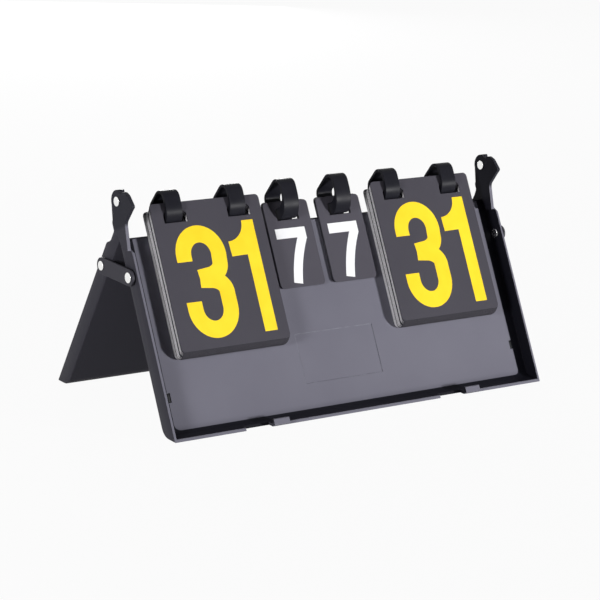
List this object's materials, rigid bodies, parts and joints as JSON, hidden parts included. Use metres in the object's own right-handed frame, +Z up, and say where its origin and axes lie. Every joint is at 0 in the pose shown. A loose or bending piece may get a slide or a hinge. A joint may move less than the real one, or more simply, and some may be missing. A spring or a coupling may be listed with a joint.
{
  "type": "flip scoreboard",
  "caption": "Folding table-top flip scoreboard: two hinged black trays on side stays, with large score leaves and small set leaves that flip over rings.",
  "frame": {"origin": "on the floor under the middle of the open board", "axes": "+X along the hinge to the right as seen from the front, -Y towards the front tray's viewer, +Z up"},
  "size_m": [0.3946, 0.1978, 0.1885],
  "materials": {
    "shell_plastic": "fine satin grain",
    "ring_plastic": "satin",
    "score_leaf_plastic": "satin sheet with printed numbers",
    "set_leaf_plastic": "satin sheet with printed numbers",
    "stay_plastic": "satin",
    "nickel_plate": "bright plated"
  },
  "bodies": {
    "front": {"front_shell": "shell_plastic", "score_ring_left_outer": "ring_plastic", "score_ring_left_inner": "ring_plastic", "score_ring_right_outer": "ring_plastic", "score_ring_right_inner": "ring_plastic", "set_ring_left": "ring_plastic", "set_ring_right": "ring_plastic", "hinge_pin_left": "nickel_plate", "hinge_pin_right": "nickel_plate", "stay_stud_left": "nickel_plate", "stay_stud_right": "nickel_plate"},
    "rear": {"rear_shell": "shell_plastic", "stay_rivet_left": "nickel_plate", "stay_rivet_right": "nickel_plate"},
    "stay_left": {"stay_left": "stay_plastic", "stay_button_left": "nickel_plate"},
    "stay_right": {"stay_right": "stay_plastic", "stay_button_right": "nickel_plate"},
    "score_leaf_left_16": {"score_leaf_left_16": "score_leaf_plastic"},
    "score_leaf_left_15": {"score_leaf_left_15": "score_leaf_plastic"},
    "score_leaf_left_14": {"score_leaf_left_14": "score_leaf_plastic"},
    "score_leaf_left_13": {"score_leaf_left_13": "score_leaf_plastic"},
    "score_leaf_left_12": {"score_leaf_left_12": "score_leaf_plastic"},
    "score_leaf_left_11": {"score_leaf_left_11": "score_leaf_plastic"},
    "score_leaf_left_10": {"score_leaf_left_10": "score_leaf_plastic"},
    "score_leaf_left_09": {"score_leaf_left_09": "score_leaf_plastic"},
    "score_leaf_left_08": {"score_leaf_left_08": "score_leaf_plastic"},
    "score_leaf_left_07": {"score_leaf_left_07": "score_leaf_plastic"},
    "score_leaf_left_06": {"score_leaf_left_06": "score_leaf_plastic"},
    "score_leaf_left_05": {"score_leaf_left_05": "score_leaf_plastic"},
    "score_leaf_left_04": {"score_leaf_left_04": "score_leaf_plastic"},
    "score_leaf_left_03": {"score_leaf_left_03": "score_leaf_plastic"},
    "score_leaf_left_02": {"score_leaf_left_02": "score_leaf_plastic"},
    "score_leaf_left_01": {"score_leaf_left_01": "score_leaf_plastic"},
    "score_leaf_right_16": {"score_leaf_right_16": "score_leaf_plastic"},
    "score_leaf_right_15": {"score_leaf_right_15": "score_leaf_plastic"},
    "score_leaf_right_14": {"score_leaf_right_14": "score_leaf_plastic"},
    "score_leaf_right_13": {"score_leaf_right_13": "score_leaf_plastic"},
    "score_leaf_right_12": {"score_leaf_right_12": "score_leaf_plastic"},
    "score_leaf_right_11": {"score_leaf_right_11": "score_leaf_plastic"},
    "score_leaf_right_10": {"score_leaf_right_10": "score_leaf_plastic"},
    "score_leaf_right_09": {"score_leaf_right_09": "score_leaf_plastic"},
    "score_leaf_right_08": {"score_leaf_right_08": "score_leaf_plastic"},
    "score_leaf_right_07": {"score_leaf_right_07": "score_leaf_plastic"},
    "score_leaf_right_06": {"score_leaf_right_06": "score_leaf_plastic"},
    "score_leaf_right_05": {"score_leaf_right_05": "score_leaf_plastic"},
    "score_leaf_right_04": {"score_leaf_right_04": "score_leaf_plastic"},
    "score_leaf_right_03": {"score_leaf_right_03": "score_leaf_plastic"},
    "score_leaf_right_02": {"score_leaf_right_02": "score_leaf_plastic"},
    "score_leaf_right_01": {"score_leaf_right_01": "score_leaf_plastic"},
    "set_leaf_left_04": {"set_leaf_left_04": "set_leaf_plastic"},
    "set_leaf_left_03": {"set_leaf_left_03": "set_leaf_plastic"},
    "set_leaf_left_02": {"set_leaf_left_02": "set_leaf_plastic"},
    "set_leaf_left_01": {"set_leaf_left_01": "set_leaf_plastic"},
    "set_leaf_right_04": {"set_leaf_right_04": "set_leaf_plastic"},
    "set_leaf_right_03": {"set_leaf_right_03": "set_leaf_plastic"},
    "set_leaf_right_02": {"set_leaf_right_02": "set_leaf_plastic"},
    "set_leaf_right_01": {"set_leaf_right_01": "set_leaf_plastic"}
  },
  "joints": [
    {"name": "fold", "type": "hinge", "parent": "front", "child": "rear", "pos_m": [0, 0, 0.1788], "axis": [1, 0, 0], "range_deg": [0, 303.5]},
    {"name": "stay_left_swing", "type": "hinge", "parent": "rear", "child": "stay_left", "pos_m": [-0.1952, 0.0217, 0.11989], "axis": [1, 0, 0], "range_deg": [0, 118]},
    {"name": "stay_right_swing", "type": "hinge", "parent": "rear", "child": "stay_right", "pos_m": [0.1952, 0.0217, 0.11989], "axis": [1, 0, 0], "range_deg": [0, 118]},
    {"name": "score_leaf_left_16_flip", "type": "hinge", "parent": "front", "child": "score_leaf_left_16", "pos_m": [-0.113, 0.00376, 0.16746], "axis": [-1, 0, 0], "range_deg": [0, 180]},
    {"name": "score_leaf_left_15_flip", "type": "hinge", "parent": "score_leaf_left_16", "child": "score_leaf_left_15", "pos_m": [-0.113, 0.00376, 0.16746], "axis": [-1, 0, 0], "range_deg": [0, 180]},
    {"name": "score_leaf_left_14_flip", "type": "hinge", "parent": "score_leaf_left_15", "child": "score_leaf_left_14", "pos_m": [-0.113, 0.00376, 0.16746], "axis": [-1, 0, 0], "range_deg": [0, 180]},
    {"name": "score_leaf_left_13_flip", "type": "hinge", "parent": "score_leaf_left_14", "child": "score_leaf_left_13", "pos_m": [-0.113, 0.00376, 0.16746], "axis": [-1, 0, 0], "range_deg": [0, 180]},
    {"name": "score_leaf_left_12_flip", "type": "hinge", "parent": "score_leaf_left_13", "child": "score_leaf_left_12", "pos_m": [-0.113, 0.00376, 0.16746], "axis": [-1, 0, 0], "range_deg": [0, 180]},
    {"name": "score_leaf_left_11_flip", "type": "hinge", "parent": "score_leaf_left_12", "child": "score_leaf_left_11", "pos_m": [-0.113, 0.00376, 0.16746], "axis": [-1, 0, 0], "range_deg": [0, 180]},
    {"name": "score_leaf_left_10_flip", "type": "hinge", "parent": "score_leaf_left_11", "child": "score_leaf_left_10", "pos_m": [-0.113, 0.00376, 0.16746], "axis": [-1, 0, 0], "range_deg": [0, 180]},
    {"name": "score_leaf_left_09_flip", "type": "hinge", "parent": "score_leaf_left_10", "child": "score_leaf_left_09", "pos_m": [-0.113, 0.00376, 0.16746], "axis": [-1, 0, 0], "range_deg": [0, 180]},
    {"name": "score_leaf_left_08_flip", "type": "hinge", "parent": "score_leaf_left_09", "child": "score_leaf_left_08", "pos_m": [-0.113, 0.00376, 0.16746], "axis": [-1, 0, 0], "range_deg": [0, 180]},
    {"name": "score_leaf_left_07_flip", "type": "hinge", "parent": "score_leaf_left_08", "child": "score_leaf_left_07", "pos_m": [-0.113, 0.00376, 0.16746], "axis": [-1, 0, 0], "range_deg": [0, 180]},
    {"name": "score_leaf_left_06_flip", "type": "hinge", "parent": "score_leaf_left_07", "child": "score_leaf_left_06", "pos_m": [-0.113, 0.00376, 0.16746], "axis": [-1, 0, 0], "range_deg": [0, 180]},
    {"name": "score_leaf_left_05_flip", "type": "hinge", "parent": "score_leaf_left_06", "child": "score_leaf_left_05", "pos_m": [-0.113, 0.00376, 0.16746], "axis": [-1, 0, 0], "range_deg": [0, 180]},
    {"name": "score_leaf_left_04_flip", "type": "hinge", "parent": "score_leaf_left_05", "child": "score_leaf_left_04", "pos_m": [-0.113, 0.00376, 0.16746], "axis": [-1, 0, 0], "range_deg": [0, 180]},
    {"name": "score_leaf_left_03_flip", "type": "hinge", "parent": "score_leaf_left_04", "child": "score_leaf_left_03", "pos_m": [-0.113, 0.00376, 0.16746], "axis": [-1, 0, 0], "range_deg": [0, 180]},
    {"name": "score_leaf_left_02_flip", "type": "hinge", "parent": "score_leaf_left_03", "child": "score_leaf_left_02", "pos_m": [-0.113, 0.00376, 0.16746], "axis": [-1, 0, 0], "range_deg": [0, 180]},
    {"name": "score_leaf_left_01_flip", "type": "hinge", "parent": "score_leaf_left_02", "child": "score_leaf_left_01", "pos_m": [-0.113, 0.00376, 0.16746], "axis": [-1, 0, 0], "range_deg": [0, 180]},
    {"name": "score_leaf_right_16_flip", "type": "hinge", "parent": "front", "child": "score_leaf_right_16", "pos_m": [0.113, 0.00376, 0.16746], "axis": [-1, 0, 0], "range_deg": [0, 180]},
    {"name": "score_leaf_right_15_flip", "type": "hinge", "parent": "score_leaf_right_16", "child": "score_leaf_right_15", "pos_m": [0.113, 0.00376, 0.16746], "axis": [-1, 0, 0], "range_deg": [0, 180]},
    {"name": "score_leaf_right_14_flip", "type": "hinge", "parent": "score_leaf_right_15", "child": "score_leaf_right_14", "pos_m": [0.113, 0.00376, 0.16746], "axis": [-1, 0, 0], "range_deg": [0, 180]},
    {"name": "score_leaf_right_13_flip", "type": "hinge", "parent": "score_leaf_right_14", "child": "score_leaf_right_13", "pos_m": [0.113, 0.00376, 0.16746], "axis": [-1, 0, 0], "range_deg": [0, 180]},
    {"name": "score_leaf_right_12_flip", "type": "hinge", "parent": "score_leaf_right_13", "child": "score_leaf_right_12", "pos_m": [0.113, 0.00376, 0.16746], "axis": [-1, 0, 0], "range_deg": [0, 180]},
    {"name": "score_leaf_right_11_flip", "type": "hinge", "parent": "score_leaf_right_12", "child": "score_leaf_right_11", "pos_m": [0.113, 0.00376, 0.16746], "axis": [-1, 0, 0], "range_deg": [0, 180]},
    {"name": "score_leaf_right_10_flip", "type": "hinge", "parent": "score_leaf_right_11", "child": "score_leaf_right_10", "pos_m": [0.113, 0.00376, 0.16746], "axis": [-1, 0, 0], "range_deg": [0, 180]},
    {"name": "score_leaf_right_09_flip", "type": "hinge", "parent": "score_leaf_right_10", "child": "score_leaf_right_09", "pos_m": [0.113, 0.00376, 0.16746], "axis": [-1, 0, 0], "range_deg": [0, 180]},
    {"name": "score_leaf_right_08_flip", "type": "hinge", "parent": "score_leaf_right_09", "child": "score_leaf_right_08", "pos_m": [0.113, 0.00376, 0.16746], "axis": [-1, 0, 0], "range_deg": [0, 180]},
    {"name": "score_leaf_right_07_flip", "type": "hinge", "parent": "score_leaf_right_08", "child": "score_leaf_right_07", "pos_m": [0.113, 0.00376, 0.16746], "axis": [-1, 0, 0], "range_deg": [0, 180]},
    {"name": "score_leaf_right_06_flip", "type": "hinge", "parent": "score_leaf_right_07", "child": "score_leaf_right_06", "pos_m": [0.113, 0.00376, 0.16746], "axis": [-1, 0, 0], "range_deg": [0, 180]},
    {"name": "score_leaf_right_05_flip", "type": "hinge", "parent": "score_leaf_right_06", "child": "score_leaf_right_05", "pos_m": [0.113, 0.00376, 0.16746], "axis": [-1, 0, 0], "range_deg": [0, 180]},
    {"name": "score_leaf_right_04_flip", "type": "hinge", "parent": "score_leaf_right_05", "child": "score_leaf_right_04", "pos_m": [0.113, 0.00376, 0.16746], "axis": [-1, 0, 0], "range_deg": [0, 180]},
    {"name": "score_leaf_right_03_flip", "type": "hinge", "parent": "score_leaf_right_04", "child": "score_leaf_right_03", "pos_m": [0.113, 0.00376, 0.16746], "axis": [-1, 0, 0], "range_deg": [0, 180]},
    {"name": "score_leaf_right_02_flip", "type": "hinge", "parent": "score_leaf_right_03", "child": "score_leaf_right_02", "pos_m": [0.113, 0.00376, 0.16746], "axis": [-1, 0, 0], "range_deg": [0, 180]},
    {"name": "score_leaf_right_01_flip", "type": "hinge", "parent": "score_leaf_right_02", "child": "score_leaf_right_01", "pos_m": [0.113, 0.00376, 0.16746], "axis": [-1, 0, 0], "range_deg": [0, 180]},
    {"name": "set_leaf_left_04_flip", "type": "hinge", "parent": "front", "child": "set_leaf_left_04", "pos_m": [-0.0275, 0.00376, 0.16746], "axis": [-1, 0, 0], "range_deg": [0, 240]},
    {"name": "set_leaf_left_03_flip", "type": "hinge", "parent": "set_leaf_left_04", "child": "set_leaf_left_03", "pos_m": [-0.0275, 0.00376, 0.16746], "axis": [-1, 0, 0], "range_deg": [0, 240]},
    {"name": "set_leaf_left_02_flip", "type": "hinge", "parent": "set_leaf_left_03", "child": "set_leaf_left_02", "pos_m": [-0.0275, 0.00376, 0.16746], "axis": [-1, 0, 0], "range_deg": [0, 240]},
    {"name": "set_leaf_left_01_flip", "type": "hinge", "parent": "set_leaf_left_02", "child": "set_leaf_left_01", "pos_m": [-0.0275, 0.00376, 0.16746], "axis": [-1, 0, 0], "range_deg": [0, 240]},
    {"name": "set_leaf_right_04_flip", "type": "hinge", "parent": "front", "child": "set_leaf_right_04", "pos_m": [0.0275, 0.00376, 0.16746], "axis": [-1, 0, 0], "range_deg": [0, 240]},
    {"name": "set_leaf_right_03_flip", "type": "hinge", "parent": "set_leaf_right_04", "child": "set_leaf_right_03", "pos_m": [0.0275, 0.00376, 0.16746], "axis": [-1, 0, 0], "range_deg": [0, 240]},
    {"name": "set_leaf_right_02_flip", "type": "hinge", "parent": "set_leaf_right_03", "child": "set_leaf_right_02", "pos_m": [0.0275, 0.00376, 0.16746], "axis": [-1, 0, 0], "range_deg": [0, 240]},
    {"name": "set_leaf_right_01_flip", "type": "hinge", "parent": "set_leaf_right_02", "child": "set_leaf_right_01", "pos_m": [0.0275, 0.00376, 0.16746], "axis": [-1, 0, 0], "range_deg": [0, 240]}
  ]
}
